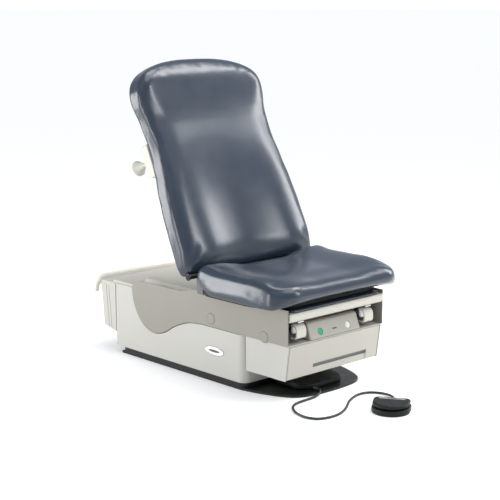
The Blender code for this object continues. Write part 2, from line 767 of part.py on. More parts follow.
# Moving pieces of the upper frame -----------------------------------------------------------
def make_footrest():
    tray = block("footrest_tray", (-0.2560, -0.6400, 0.3430), (0.2560, -0.2050, 0.3530), "cream")
    lip = prism("lip", [(-0.6460, 0.3170), (-0.6330, 0.3170), (-0.6330, 0.3520), (-0.6520, 0.3520),
                        (-0.6540, 0.3440), (-0.6520, 0.3250)], "x", -0.2610, 0.2610, "cream")
    rounded(lip, 0.004, 2, 40)
    weld(tray, lip)
    outline = round_rect((-0.2500, -0.6500), (0.2500, -0.2150), 0.020, 3)
    pad = prism("footrest_pad", outline, "z", 0.3533, 0.3650, "vinyl")
    return tray, rounded(pad, 0.004, 2, 50)


def make_drawer():
    outline = [(-0.6450, 0.2215), (-0.6265, 0.0885), (-0.6120, 0.0885), (-0.6120, 0.2215)]
    front = prism("drawer_front", outline, "x", -DRAWER_HALF_WIDTH, DRAWER_HALF_WIDTH, "ivory")
    rounded(front, 0.005, 3, 40)
    slot = block("slot", (SLOT_X[0], -0.700, 0.1160), (SLOT_X[1], -0.6200, 0.1320))
    scoop = prism("scoop", [(-0.700, 0.080), (-0.6245, 0.080), (-0.6270, 0.118), (-0.700, 0.118)], "x",
                  *SLOT_X)
    carve(front, slot, scoop)
    bin_box = block("drawer_bin", (-0.248, -0.6117, 0.0950), (0.248, -0.4250, 0.1950), "pale")
    inside = block("inside", (-0.2445, -0.6080, 0.0985), (0.2445, -0.4285, 0.3))
    return front, carve(bin_box, inside)


def make_stirrup_bars():
    made = []
    for side, label in SIDES:
        x = side * STIRRUP_X
        bar = rod("stirrup_bar_" + label, (x, -0.600, STIRRUP_Z), (x, -0.215, STIRRUP_Z),
                  0.0103, "steel", 16)
        upright = block("upright", (x - 0.016, -0.6035, 0.258), (x + 0.016, -0.5975, 0.3120))
        hood = block("hood", (x - 0.016, -0.6370, 0.3080), (x + 0.016, -0.5980, 0.3125))
        weld(bar, upright)
        made.append(weld(bar, hood))
    return made


def make_stirrup_cups():
    """Heel cups: a curved band, open at the back and sides, hung from its top front edge."""
    made = []
    wall = 0.006
    for side, label in SIDES:
        x0, x1 = (side * STIRRUP_X - 0.026, side * STIRRUP_X + 0.026)
        outline = [(-0.608, 0.300)] + arc((-0.616, 0.274), 0.026, 90, 180, 6)
        outline += arc((-0.628, 0.258), 0.014, 180, 270, 4) + [(-0.608, 0.244)]
        cup = prism("stirrup_cup_" + label, outline, "x", x0, x1, "cream")
        rounded(cup, 0.0015, 1, 50)
        inside = [(-0.580, 0.300 - wall)] + arc((-0.616, 0.274), 0.026 - wall, 90, 180, 6)
        inside += arc((-0.628, 0.258), 0.014 - wall, 180, 270, 4) + [(-0.580, 0.244 + wall)]
        made.append(carve(cup, prism("hollow", inside, "x", x0 - 0.01, x1 + 0.01)))
    return made


def make_buttons():
    made = []
    turn = Matrix.Rotation(math.radians(90.0 - MODULE_SLOPE), 4, "X")
    for name, x, colour in (("power_button", BUTTON_X[0], "green"), ("heater_button", BUTTON_X[1], "pale")):
        profile = ((0.0, 0.0), (0.0138, 0.0), (0.0140, 0.0095), (0.0125, 0.0115), (0.0, 0.0120))
        face, outward = button_frame(x)
        made.append(turned(name, profile, Matrix.Translation(face - outward * 0.0122) @ turn, colour))
    return made


# Backrest ----------------------------------------------------------------------------------
def make_backrest():
    """Modelled flat, with the hinge axis at the origin: x across, y along, z to the front."""
    cushion = prism("backrest_cushion", back_outline(), "z", BACK_REAR, BACK_FRONT, "vinyl")
    rounded(cushion, 0.026, 2, 50)
    pocket_top = BACK_REAR + BOARD_THICKNESS + 0.001
    pocket = prism("pocket", back_outline(BOARD_INSET - 0.001, BOARD_START), "z", BACK_REAR - 0.05,
                   pocket_top)
    mouth = block("mouth", (-0.330, -0.050, BACK_REAR - 0.04), (0.330, 0.060, pocket_top - 0.0002))
    carve(cushion, pocket, mouth)
    board = prism("backrest_board", back_outline(BOARD_INSET, BOARD_START), "z", BACK_REAR,
                  BACK_REAR + BOARD_THICKNESS, "cream")
    welds = []
    for side in (-1, 1):
        x0, x1 = sorted((side * 0.262, side * 0.270))
        outline = [(0.060, -0.0500), (0.060, -0.0390), (0.0170, -0.0390), (0.0170, 0.0)]
        outline += arc((0.0, 0.0), 0.0160, 30, 180, 8) + [(-0.0160, -0.0500)]
        welds.append(prism("lug", outline, "x", x0, x1))
    for x in (-0.024, 0.018):
        outline = [(0.120, -0.045), (0.120, -0.060)] + arc(SPRING_HEAD, 0.026, 190, 350, 10)
        outline += [(0.220, -0.060), (0.220, -0.045)]
        welds.append(prism("cheek", outline, "x", x, x + 0.006))
    for item in welds:
        weld(board, item)
    bores = [rod("bore", (-0.28, 0.0, 0.0), (0.28, 0.0, 0.0), 0.0113, "steel", 16)]
    bores.append(rod("bore", (-0.03, *SPRING_HEAD), (0.03, *SPRING_HEAD), 0.0175, "steel", 16))
    carve(board, *bores)
    tube = bake(rod("hinge_tube", (-0.348, 0.0, 0.0), (0.348, 0.0, 0.0), 0.0110, "black", 16))
    plates = []
    levers = []
    for side, label in SIDES:
        x0, x1 = sorted((side * 0.294, side * 0.318))
        outline = arc((0.460, -0.0740), 0.0235, 180, 270, 6) + arc((0.550, -0.0740), 0.0235, 270, 360, 6)
        outline += [(0.5735, -0.0503), (0.4365, -0.0503)]
        plate = prism("release_plate_" + label, outline, "x", x0, x1, "cream")
        plates.append(rounded(plate, 0.004, 2, 50))
        profile = ((0.0, 0.0), (0.0060, 0.0), (0.0070, 0.0060), (0.0165, 0.0280), (0.0250, 0.0430),
                   (0.0325, 0.0530), (0.0320, 0.0580), (0.0, 0.0600))
        place = Matrix.Translation((side * 0.306, 0.505, -0.1005)) @ Matrix.Rotation(math.pi, 4, "X")
        levers.append(turned("release_lever_" + label, profile, place, "cream"))
    return board, cushion, tube, plates, levers


def make_gas_spring():
    """Modelled along +Y from its trunnion axis, then tilted to the raised backrest's angle."""
    cylinder = rod("spring_cylinder", (0.0, -0.045, 0.0), (0.0, 0.150, 0.0), 0.0110, "black")
    trunnion = rod("trunnion", (-0.0150, 0.0, 0.0), (0.0150, 0.0, 0.0), 0.0135, "black")
    weld(cylinder, trunnion)
    cutters = [rod("bore", (0.0, -0.032, 0.0), (0.0, 0.200, 0.0), 0.0058)]
    for side in (-1, 1):
        cutters.append(rod("seat", (side * 0.0118, 0.0, 0.0), (side * 0.03, 0.0, 0.0), 0.0064))
    carve(cylinder, *cutters)
    tail = SPRING_REACH - SPRING_ROD_LENGTH
    shaft = rod("spring_rod", (0.0, tail, 0.0), (0.0, SPRING_REACH, 0.0), 0.0050)
    head = rod("head", (-0.0150, SPRING_REACH, 0.0), (0.0150, SPRING_REACH, 0.0), 0.0100)
    pin = rod("pin", (-0.0260, SPRING_REACH, 0.0), (0.0260, SPRING_REACH, 0.0), 0.0045)
    weld(shaft, head, pin)
    return cylinder, shaft


# Foot control ------------------------------------------------------------------------------
def pedal_outline(inset):
    """A flat-backed D: +Y is the straight rear edge."""
    half = 0.073 - inset
    rear = 0.056 - inset
    points = arc((half - 0.022, rear - 0.022), 0.022, 0, 90, 4)
    points += arc((-half + 0.022, rear - 0.022), 0.022, 90, 180, 4)
    for i in range(1, 14):
        angle = math.pi + math.pi * i / 14
        points.append((half * math.cos(angle), 0.004 + (0.076 - inset) * math.sin(angle)))
    return points


def make_foot_control():
    place = Matrix.Translation((PEDAL_X, PEDAL_Y, 0.0)) @ Matrix.Rotation(PEDAL_TURN, 4, "Z")
    base = prism("foot_control_base", pedal_outline(0.0), "z", 0.0, 0.0215, "black")
    rounded(base, 0.003, 2, 50)
    treadle = prism("foot_treadle", pedal_outline(0.003), "z", 0.0258, 0.0405, "black")
    rounded(treadle, 0.006, 3, 50)
    knuckle = block("knuckle", (-0.006, -0.030, 0.0225), (0.006, 0.030, 0.0300))
    weld(treadle, knuckle)
    return moved(base, place), moved(treadle, place)


def make_cord():
    points = [tuple(point) for point in spline_points(CORD_ROUTE, CORD_SAMPLES_PER_SPAN)]
    curve = bpy.data.curves.new("foot_cord", "CURVE")
    curve.dimensions = "3D"
    curve.bevel_depth = CORD_RADIUS
    curve.bevel_resolution = 2
    curve.use_fill_caps = True
    line = curve.splines.new("POLY")
    line.points.add(len(points) - 1)
    for target, point in zip(line.points, points):
        target.co = (*point, 1.0)
    curve.materials.append(paint("rubber"))
    cord = bpy.data.objects.new("foot_cord", curve)
    bpy.context.scene.collection.objects.link(cord)
    return cord


def strain_relief(name, tip, mouth):
    """A tapered boot from the cord's end at tip to the wide end at mouth."""
    tip = Vector(tip)
    line = Vector(mouth) - tip
    length = line.length
    profile = ((0.0, 0.0), (0.0056, 0.0), (0.0067, length * 0.55), (0.0071, length), (0.0, length))
    place = Matrix.Translation(tip) @ line.to_track_quat("Z", "Y").to_matrix().to_4x4()
    return turned(name, profile, place, "rubber", 12)


# Assembly ----------------------------------------------------------------------------------
def main():
    clear_scene()
    base = Body("base", (0.0, 0.0, 0.0))
    base.hold(make_base_plate(), *make_base_channels(), make_base_cover(), make_power_inlet(),
              make_control_box(), make_foot_cover(), make_lift_motor())
    start = Vector(CORD_ROUTE[0])
    gland = strain_relief("cord_gland", start + Vector((0.0, 2 * GAP, 0.0)), (start.x, -0.5923, start.z))
    before, end = spline_points(CORD_ROUTE, CORD_SAMPLES_PER_SPAN)[-2:]
    along = (end - before).normalized()
    boot = strain_relief("cord_boot", end + along * 2 * GAP, end + along * 0.0280)
    pedal_base, treadle = make_foot_control()
    base.hold(gland, boot, pedal_base, make_cord())

    treadle_body = Body("treadle", (PEDAL_X, PEDAL_Y, 0.024), base)
    treadle_body.hold(treadle)

    rod_body = Body("lift_screw", (0.0, crank_pin(ARM_REST)[0], crank_pin_height()), base)
    rod_body.hold(make_lift_rod())

    outer, inner, crank, top_axle, low_axle, pivot = make_scissor()
    outer_body = Body("outer_arms", (0.0, FIXED_PIN_Y, LOWER_PIN_Z), base)
    outer_body.hold(*outer, crank, top_axle)
    middle_y = FIXED_PIN_Y - ARM_LENGTH * math.cos(ARM_REST) / 2
    inner_body = Body("inner_arms", (0.0, middle_y, (LOWER_PIN_Z + UPPER_PIN_Z) / 2), outer_body)
    inner_body.hold(*inner, low_axle, pivot)

    table = Body("table", (0.0, FIXED_PIN_Y, UPPER_PIN_Z), inner_body)
    table.hold(*make_upper_rails(), *make_crossmembers(), make_deck_tray(), make_seat_board(),
               make_seat_cushion(), *make_side_panels(), make_rear_cover(), make_rear_rim(),
               make_drawer_housing(), make_control_module(), *make_stirrup_guides(),
               *make_hinge_brackets())

    footrest = Body("footrest", (0.0, FOOTREST_FRONT, 0.348), table)
    footrest.hold(*make_footrest())
    drawer = Body("drawer", (0.0, PANEL_FRONT, 0.150), table)
    drawer.hold(*make_drawer())
    for (side, label), bar, cup in zip(SIDES, make_stirrup_bars(), make_stirrup_cups()):
        slide = Body("stirrup_" + label, (side * STIRRUP_X, -0.600, STIRRUP_Z), table)
        slide.hold(bar)
        flip = Body("cup_" + label, (side * STIRRUP_X, -0.6360, 0.2970), slide)
        flip.hold(cup)
    for x, button in zip(BUTTON_X, make_buttons()):
        holder = Body(button.name + "_travel", (x, BUTTON_Y, BUTTON_Z), table)
        holder.hold(button)

    cylinder, shaft = make_gas_spring()
    foot = (0.0, SPRING_FOOT_Y, SPRING_FOOT_Z)
    tilt = pose_matrix(foot, SPRING_TILT)
    cylinder_body = Body("spring_tilt", foot, table)
    cylinder_body.hold(moved(cylinder, tilt))
    shaft_body = Body("spring_travel", foot, cylinder_body)
    shaft_body.hold(moved(shaft, tilt))

    hinge = (0.0, HINGE_Y, HINGE_Z)
    raised = pose_matrix(hinge, BACK_ANGLE)
    board, cushion, tube, plates, levers = make_backrest()
    back = Body("backrest", hinge, table)
    back.hold(*(moved(item, raised) for item in (board, cushion, tube, *plates)))
    for (side, label), lever in zip(SIDES, levers):
        pivot_point = raised @ Vector((side * 0.306, 0.505, -0.1005))
        holder = Body("lever_" + label, pivot_point, back)
        holder.hold(moved(lever, raised))


main()
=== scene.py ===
"""Looks of the height-adjustable exam table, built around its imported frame.

Metres, +Z up, in the frame's own axes: the foot end faces -Y and +X is the right side seen from
there. The upholstery is inflated by cloth simulation, then smoothed and subdivided.
"""

import math

import bmesh
import bpy
from mathutils import Matrix, Vector


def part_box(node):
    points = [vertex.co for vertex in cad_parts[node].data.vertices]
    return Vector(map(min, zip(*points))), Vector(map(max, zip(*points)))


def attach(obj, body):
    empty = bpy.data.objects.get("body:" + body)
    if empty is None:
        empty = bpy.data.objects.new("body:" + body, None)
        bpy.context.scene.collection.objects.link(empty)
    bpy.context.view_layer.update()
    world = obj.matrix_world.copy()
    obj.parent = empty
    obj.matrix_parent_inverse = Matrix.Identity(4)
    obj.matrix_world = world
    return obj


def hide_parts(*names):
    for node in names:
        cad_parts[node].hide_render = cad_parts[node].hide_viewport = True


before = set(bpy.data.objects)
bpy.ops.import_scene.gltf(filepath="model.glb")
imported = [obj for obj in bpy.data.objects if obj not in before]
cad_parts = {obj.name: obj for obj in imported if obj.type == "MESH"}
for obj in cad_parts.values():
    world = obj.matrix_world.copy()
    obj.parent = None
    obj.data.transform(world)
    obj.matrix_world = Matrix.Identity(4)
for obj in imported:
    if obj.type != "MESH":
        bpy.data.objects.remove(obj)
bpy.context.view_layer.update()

SIDES = ((-1, "left"), (1, "right"))

# Camera ------------------------------------------------------------------------------------
EYE = (-3.53681, -3.91823, 1.49510)
TARGET = (0.001447, -0.153086, 0.492043)
LENS = 92.19

# Cord of the foot control: the same route as its solid, in metres ---------------------------
CORD_RADIUS = 0.0048
CORD_ROUTE = (
    (-0.070, -0.6115, 0.0180),
    (-0.070, -0.6190, 0.0180),
    (-0.077, -0.6330, 0.0163),
    (-0.096, -0.6455, 0.0108),
    (-0.132, -0.6530, 0.0058),
    (-0.182, -0.6550, 0.0052),
    (-0.232, -0.6600, 0.0052),
    (-0.270, -0.6780, 0.0052),
    (-0.300, -0.7110, 0.0052),
    (-0.320, -0.7520, 0.0052),
    (-0.326, -0.8000, 0.0052),
    (-0.308, -0.8400, 0.0052),
    (-0.263, -0.8580, 0.0052),
    (-0.213, -0.8570, 0.0052),
    (-0.161, -0.8380, 0.0052),
    (-0.1135, -0.8090, 0.0052),
    (-0.070, -0.7790, 0.0052),
    (-0.011, -0.7520, 0.0052),
    (0.040, -0.7450, 0.0052),
    (0.078, -0.7620, 0.0052),
    (0.097, -0.7980, 0.0056),
    (0.096, -0.8380, 0.0070),
    (0.078, -0.8720, 0.0092),
    (0.0560, -0.8945, 0.0112),
    (0.0345, -0.9110, 0.0120),
)
CORD_STEPS = 3

# Upholstery --------------------------------------------------------------------------------
SEAT_HALF_WIDTH = 0.3525
SEAT_FRONT = -0.704
SEAT_REAR = -0.1995
SEAT_CORNERS = (0.026, 0.108)
SEAT_CROWN = 0.4775
SEAT_UNDERSIDE = 0.3690
SEAT_OVER_BOARD = 0.3800

BACK_ANGLE = math.radians(65.0)
BACK_START = 0.003
BACK_LENGTH = 0.914
HEAD_START = 0.740
HEAD_HALF_WIDTH = 0.349
BACK_WIDTHS = ((0.000, 0.352), (0.040, 0.362), (0.140, 0.361), (0.240, 0.359), (0.340, 0.350),
               (0.440, 0.335), (0.540, 0.324), (0.640, 0.333), (HEAD_START, HEAD_HALF_WIDTH))
HEAD_SQUARENESS = 2.55
BACK_FACE = 0.0350
BACK_REAR = -0.0490
BACK_OVER_BOARD = -0.0365
SKIRT = 0.0240
SKIRT_STEP = 0.003

# Small details: places and sizes --------------------------------------------------------------
PEDAL = (-0.037, -0.9575)
PEDAL_TURN = math.radians(-57.0)
MODULE_SLOPE = 20.5
BUTTON_Y = -0.6330
BUTTON_Z = 0.2526
SLOT_CENTRE = (0.035, -0.6198, 0.1240)
PLUG_RADIUS = 0.0225
PLUG_PLACES = ((-0.214, 0.259), (-0.518, 0.242))
BADGE_PLACE = (-0.231, 0.129)

VOXEL = 0.0075
CLOTH_FRAMES = 20
CLOTH_PRESSURE = 4.0


# Materials ---------------------------------------------------------------------------------
def material(name, colour, roughness, metallic=0.0, grain=1400.0, bump=0.00005, mottle=0.05,
             patch=7.0, spread=0.05, coat=0.0, coat_roughness=0.15, pores=False, gleam=0.5):
    """A procedural surface: mottled colour, uneven gloss, and a fine grain in the normal."""
    made = bpy.data.materials.new(name)
    made.use_nodes = True
    nodes = made.node_tree.nodes
    link = made.node_tree.links.new
    shader = nodes["Principled BSDF"]
    shader.inputs["Metallic"].default_value = metallic
    shader.inputs["Specular IOR Level"].default_value = gleam
    shader.inputs["Coat Weight"].default_value = coat
    shader.inputs["Coat Roughness"].default_value = coat_roughness
    place = nodes.new("ShaderNodeTexCoord")

    patches = nodes.new("ShaderNodeTexNoise")
    patches.inputs["Scale"].default_value = patch
    patches.inputs["Detail"].default_value = 5.0
    link(place.outputs["Object"], patches.inputs["Vector"])

    tone = nodes.new("ShaderNodeMapRange")
    tone.inputs["From Min"].default_value = 0.3
    tone.inputs["From Max"].default_value = 0.7
    tone.inputs["To Min"].default_value = 1.0 - mottle
    tone.inputs["To Max"].default_value = 1.0 + mottle
    link(patches.outputs["Fac"], tone.inputs["Value"])
    scaled = nodes.new("ShaderNodeVectorMath")
    scaled.operation = "SCALE"
    scaled.inputs[0].default_value = colour
    link(tone.outputs["Result"], scaled.inputs["Scale"])
    link(scaled.outputs["Vector"], shader.inputs["Base Color"])

    gloss = nodes.new("ShaderNodeMapRange")
    gloss.inputs["From Min"].default_value = 0.3
    gloss.inputs["From Max"].default_value = 0.7
    gloss.inputs["To Min"].default_value = roughness - spread
    gloss.inputs["To Max"].default_value = roughness + spread
    smudges = nodes.new("ShaderNodeTexNoise")
    smudges.inputs["Scale"].default_value = patch * 4.0
    smudges.inputs["Detail"].default_value = 6.0
    link(place.outputs["Object"], smudges.inputs["Vector"])
    link(smudges.outputs["Fac"], gloss.inputs["Value"])
    link(gloss.outputs["Result"], shader.inputs["Roughness"])

    if pores:
        texture = nodes.new("ShaderNodeTexVoronoi")
        texture.feature = "DISTANCE_TO_EDGE"
        texture.inputs["Scale"].default_value = grain
        height = texture.outputs["Distance"]
    else:
        texture = nodes.new("ShaderNodeTexNoise")
        texture.inputs["Scale"].default_value = grain
        texture.inputs["Detail"].default_value = 3.0
        height = texture.outputs["Fac"]
    link(place.outputs["Object"], texture.inputs["Vector"])
    relief = nodes.new("ShaderNodeBump")
    relief.inputs["Strength"].default_value = 1.0
    relief.inputs["Distance"].default_value = bump
    link(height, relief.inputs["Height"])
    link(relief.outputs["Normal"], shader.inputs["Normal"])
    return made


def brushed(name, colour, roughness, stretch):
    """Metal drawn along one axis: the grain is stretched along it."""
    made = material(name, colour, roughness, metallic=1.0, mottle=0.03, spread=0.06)
    nodes = made.node_tree.nodes
    link = made.node_tree.links.new
    mapping = nodes.new("ShaderNodeMapping")
    mapping.inputs["Scale"].default_value = stretch
    place = next(n for n in nodes if n.bl_idname == "ShaderNodeTexCoord")
    link(place.outputs["Object"], mapping.inputs["Vector"])
    for texture in [n for n in nodes if n.bl_idname == "ShaderNodeTexNoise"]:
        link(mapping.outputs["Vector"], texture.inputs["Vector"])
    return made


MATERIALS = {
    "vinyl": material("slate_vinyl", (0.021, 0.031, 0.047), 0.25, grain=900.0, bump=0.00003,
                      mottle=0.035, patch=4.0, spread=0.02, coat=0.15, coat_roughness=0.22,
                      pores=True),
    "ivory": material("ivory_plastic", (0.440, 0.430, 0.392), 0.42, mottle=0.012, coat=0.06),
    "beige": material("beige_panel", (0.238, 0.227, 0.188), 0.44, mottle=0.012, coat=0.05),
    # The deck tray: the beige made much lighter, with the light on its top painted into the colour.
    "deck": material("deck_plastic_painted_light", (0.440, 0.420, 0.356), 0.44, mottle=0.012, coat=0.05),
    "cream": material("cream_plastic", (0.540, 0.520, 0.450), 0.42, mottle=0.012, coat=0.06),
    "shell": material("rear_plastic", (0.440, 0.428, 0.386), 0.42, mottle=0.012, coat=0.06),
    # The control module: the ivory plastic darkened, with the shade from the lip above it painted
    # into the colour.
    "module": material("module_plastic_painted_shade", (0.350, 0.338, 0.288), 0.44, mottle=0.012, coat=0.05),
    # The rear rim: the cream plastic made much lighter, with the light and highlight on its top
    # painted into the colour.
    "rim": material("rim_plastic_painted_light", (0.740, 0.712, 0.640), 0.42, mottle=0.012, coat=0.06),
    # The drawer front: a copy of the ivory plastic toned for how light falls on the front face, so
    # light and shade are painted into its colour.
    "panel": material("drawer_front_light_toned_plastic", (0.450, 0.432, 0.374), 0.42, mottle=0.012, coat=0.06),
    "black": material("black_plastic", (0.006, 0.008, 0.007), 0.46, mottle=0.10, gleam=0.22),
    "enamel": material("black_enamel", (0.006, 0.008, 0.007), 0.36, mottle=0.10, gleam=0.35),
    "frame": material("frame_paint", (0.105, 0.108, 0.112), 0.48, mottle=0.08, grain=500.0),
    "steel": brushed("drawn_steel", (0.560, 0.570, 0.580), 0.30, (1.0, 0.03, 1.0)),
    "rubber": material("black_rubber", (0.014, 0.015, 0.015), 0.42, mottle=0.12, grain=700.0),
    "green": material("green_button", (0.020, 0.330, 0.150), 0.28, mottle=0.03, coat=0.3),
    "pale": material("pale_plastic", (0.660, 0.650, 0.600), 0.36, mottle=0.02, coat=0.1),
    "dark_grey": material("dark_grey_plastic", (0.060, 0.062, 0.062), 0.40, mottle=0.05),
    # A dark grey that paints the shade at the bottom of the drawer's finger slot.
    "slot_painted_shade": material("slot_painted_shade", (0.160, 0.165, 0.160), 0.50, mottle=0.03),
    "label_grey": material("label_grey", (0.260, 0.262, 0.255), 0.45, mottle=0.03),
    "white": material("white_badge", (0.800, 0.795, 0.770), 0.30, mottle=0.01, coat=0.3),
}

FINISH = {
    "ivory": ("base_cover", "drawer_housing"),
    "panel": ("drawer_front",),
    "beige": ("side_panel_left", "side_panel_right"),
    "deck": ("deck_tray",),
    "shell": ("rear_cover",),
    "module": ("control_module",),
    "rim": ("rear_rim",),
    "cream": ("footrest_tray", "stirrup_cup_left", "stirrup_cup_right", "backrest_board",
              "release_plate_left", "release_plate_right", "release_lever_left",
              "release_lever_right"),
    "black": ("power_inlet", "front_foot_cover", "foot_control_base", "foot_treadle", "seat_board",
              "hinge_tube", "spring_cylinder"),
    "enamel": ("base_plate",),
    "frame": ("base_channel_left", "base_channel_right", "control_box", "outer_arm_left",
              "outer_arm_right", "inner_arm_left", "inner_arm_right", "upper_rail_left",
              "upper_rail_right", "crossmember_front", "crossmember_middle", "crossmember_rear",
              "hinge_bracket_left", "hinge_bracket_right"),
    "steel": ("lift_motor", "lift_rod", "crank_axle", "upper_roller_axle", "lower_roller_axle",
              "upper_pivot_axle", "stirrup_guide_left", "stirrup_guide_right", "stirrup_bar_left",
              "stirrup_bar_right", "spring_rod"),
    "rubber": ("cord_gland", "cord_boot"),
    "green": ("power_button",),
    "pale": ("drawer_bin", "heater_button"),
}


def finish_frame():
    for key, names in FINISH.items():
        for name in names:
            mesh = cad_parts[name].data
            mesh.materials.clear()
            mesh.materials.append(MATERIALS[key])


# Mesh helpers ------------------------------------------------------------------------------
def piece(name, bm, key, body, smooth=True):
    bmesh.ops.recalc_face_normals(bm, faces=bm.faces)
    mesh = bpy.data.meshes.new(name)
    bm.to_mesh(mesh)
    bm.free()
    item = bpy.data.objects.new(name, mesh)
    bpy.context.scene.collection.objects.link(item)
    mesh.materials.append(MATERIALS[key])
    if smooth:
        mesh.shade_smooth()
    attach(item, body)
    return item


def apply_modifiers(item):
    graph = bpy.context.evaluated_depsgraph_get()
    mesh = bpy.data.meshes.new_from_object(item.evaluated_get(graph))
    item.modifiers.clear()
    old = item.data
    item.data = mesh
    bpy.data.meshes.remove(old)
    mesh.shade_smooth()
    return item


def arc(centre, radius, start, end, steps):
    points = []
    for i in range(steps + 1):
        angle = math.radians(start + (end - start) * i / steps)
        points.append((centre[0] + radius * math.cos(angle), centre[1] + radius * math.sin(angle)))
    return points


def smoothstep(low, high, value):
    t = min(max((value - low) / (high - low), 0.0), 1.0)
    return t * t * (3.0 - 2.0 * t)


def swell(value, centre, width):
    return math.exp(-((value - centre) / width) ** 2)


def resampled(outline, count):
    """The closed outline again, as evenly spaced points."""
    closed = [Vector(p) for p in outline]
    closed.append(closed[0])
    lengths = [(b - a).length for a, b in zip(closed, closed[1:])]
    step = sum(lengths) / count
    points = []
    index = 0
    walked = 0.0
    for i in range(count):
        target = i * step
        while walked + lengths[index] < target:
            walked += lengths[index]
            index += 1
        part = (target - walked) / lengths[index]
        points.append(closed[index].lerp(closed[index + 1], part))
    return points


def spline_points(keys, steps):
    """Catmull-Rom curve through key points."""
    keys = [Vector(key) for key in keys]
    padded = [2 * keys[0] - keys[1]] + keys + [2 * keys[-1] - keys[-2]]
    points = []
    for a, b, c, d in zip(padded, padded[1:], padded[2:], padded[3:]):
        for i in range(steps):
            t = i / steps
            points.append(0.5 * (2 * b + (c - a) * t + (2 * a - 5 * b + 4 * c - d) * t ** 2
                                 + (3 * b - a - 3 * c + d) * t ** 3))
    points.append(keys[-1])
    return points


# Upholstery --------------------------------------------------------------------------------
def pad_mesh(name, outline, centre, top, under, over, under_radius, body):
    """A closed pad: rounded edges, a top surface, and an underside with a skirt round a board."""
    count = len(outline)
    centre = Vector(centre)
    inward = []
    for i in range(count):
        along = (outline[(i + 1) % count] - outline[i - 1]).normalized()
        inward.append(Vector((-along.y, along.x)))

    def ring(inset, height):
        return [(p + n * inset, height) for p, n in zip(outline, inward)]

    rings = []
    for scale in (0.25, 0.5, 0.75, 0.93):
        inner = [(centre + (p + n * (SKIRT + SKIRT_STEP) - centre) * scale)
                 for p, n in zip(outline, inward)]
        rings.append([(p, under(p, True)) for p in inner])
    rings.append([(p, under(p, True)) for p, _ in ring(SKIRT + SKIRT_STEP, 0)])
    rings.append([(p, under(p, False)) for p, _ in ring(SKIRT, 0)])
    for i in range(5):
        turn = math.radians(90 - 22.5 * i)
        inset = under_radius * (1 - math.cos(turn))
        rise = under_radius * (1 - math.sin(turn))
        rings.append([(p, under(p, False) + rise) for p, _ in ring(inset, 0)])
    wide, tall = over
    for i in range(8):
        turn = math.radians(90 * i / 7)
        inset = wide * (1 - math.cos(turn))
        rings.append([(p, top(p) - tall * (1 - math.sin(turn))) for p, _ in ring(inset, 0)])
    last = [p for p, _ in rings[-1]]
    for i in range(1, 12):
        rings.append([(q, top(q)) for q in (centre + (p - centre) * (1 - i / 12) for p in last)])

    bm = bmesh.new()
    made = [[bm.verts.new((p.x, p.y, h)) for p, h in one] for one in rings]
    for lower, upper in zip(made, made[1:]):
        for i in range(count):
            j = (i + 1) % count
            bm.faces.new((lower[i], lower[j], upper[j], upper[i]))
    bottom = bm.verts.new((centre.x, centre.y, under(centre, True)))
    crown = bm.verts.new((centre.x, centre.y, top(centre)))
    for i in range(count):
        j = (i + 1) % count
        bm.faces.new((bottom, made[0][j], made[0][i]))
        bm.faces.new((crown, made[-1][i], made[-1][j]))
    return piece(name, bm, "vinyl", body)


def remeshed(item, voxel):
    change = item.modifiers.new("Remesh", "REMESH")
    change.mode = "VOXEL"
    change.voxel_size = voxel
    change.use_smooth_shade = True
    return apply_modifiers(item)


def inflate(item, pinned, cap):
    """Blow the pad up as cloth; pinned(point) holds the vertices that rest on the board."""
    group = item.vertex_groups.new(name="pinned")
    group.add([v.index for v in item.data.vertices if pinned(v.co)], 1.0, "REPLACE")
    before = [v.co.copy() for v in item.data.vertices]
    cloth = item.modifiers.new("Cloth", "CLOTH")
    settings = cloth.settings
    settings.quality = 4
    settings.mass = 0.3
    settings.tension_stiffness = 15.0
    settings.compression_stiffness = 15.0
    settings.bending_stiffness = 6.0
    settings.use_pressure = True
    settings.uniform_pressure_force = CLOTH_PRESSURE
    settings.vertex_group_mass = group.name
    settings.effector_weights.gravity = 0.0
    cloth.collision_settings.use_collision = False
    cloth.collision_settings.use_self_collision = False
    cloth.point_cache.frame_start = 1
    cloth.point_cache.frame_end = CLOTH_FRAMES
    scene = bpy.context.scene
    for number in range(1, CLOTH_FRAMES + 1):
        scene.frame_set(number)
    graph = bpy.context.evaluated_depsgraph_get()
    blown = item.evaluated_get(graph)
    after = [v.co.copy() for v in blown.data.vertices]
    item.modifiers.clear()
    for vertex, old, new in zip(item.data.vertices, before, after):
        move = new - old
        if move.length > cap:
            move = move.normalized() * cap
        vertex.co = old + move
    item.vertex_groups.clear()
    scene.frame_set(1)
    return item


def softened(item, passes):
    change = item.modifiers.new("Smooth", "SMOOTH")
    change.factor = 0.5
    change.iterations = passes
    more = item.modifiers.new("Subdivision", "SUBSURF")
    more.levels = 1
    more.render_levels = 1
    return apply_modifiers(item)


def seat_outline():
    half = SEAT_HALF_WIDTH
    rear, front = SEAT_CORNERS
    points = arc((half - rear, SEAT_REAR - rear), rear, 0, 90, 8)
    points += arc((-half + rear, SEAT_REAR - rear), rear, 90, 180, 8)
    points += arc((-half + front, SEAT_FRONT + front), front, 180, 270, 12)
    points += arc((half - front, SEAT_FRONT + front), front, 270, 360, 12)
    return resampled(points, 132)


def seat_top(point):
    across = abs(point.x)
    dish = 0.0190 * (1 - smoothstep(0.090, 0.275, across))
    fall = 0.021 * smoothstep(-0.500, -0.720, point.y)
    rear = 0.005 * smoothstep(-0.330, -0.230, point.y)
    return SEAT_CROWN - dish * (1 - 0.7 * smoothstep(-0.560, -0.690, point.y)) - fall + rear


def seat_under(point, inside):
    """Flat over the board, arched at the front, and cut away diagonally at the rear corners."""
    across = abs(point.x)
    rise = 0.036 * smoothstep(-0.600, -0.680, point.y) * (1 - min(across / 0.345, 1.0) ** 8)
    rise += 0.044 * min(max((point.y + 0.291) / 0.0825, 0.0), 1.0) * smoothstep(0.262, 0.325, across)
    if inside and point.y > -0.668:
        return SEAT_OVER_BOARD + max(rise - 0.011, 0.0)
    return SEAT_UNDERSIDE + rise


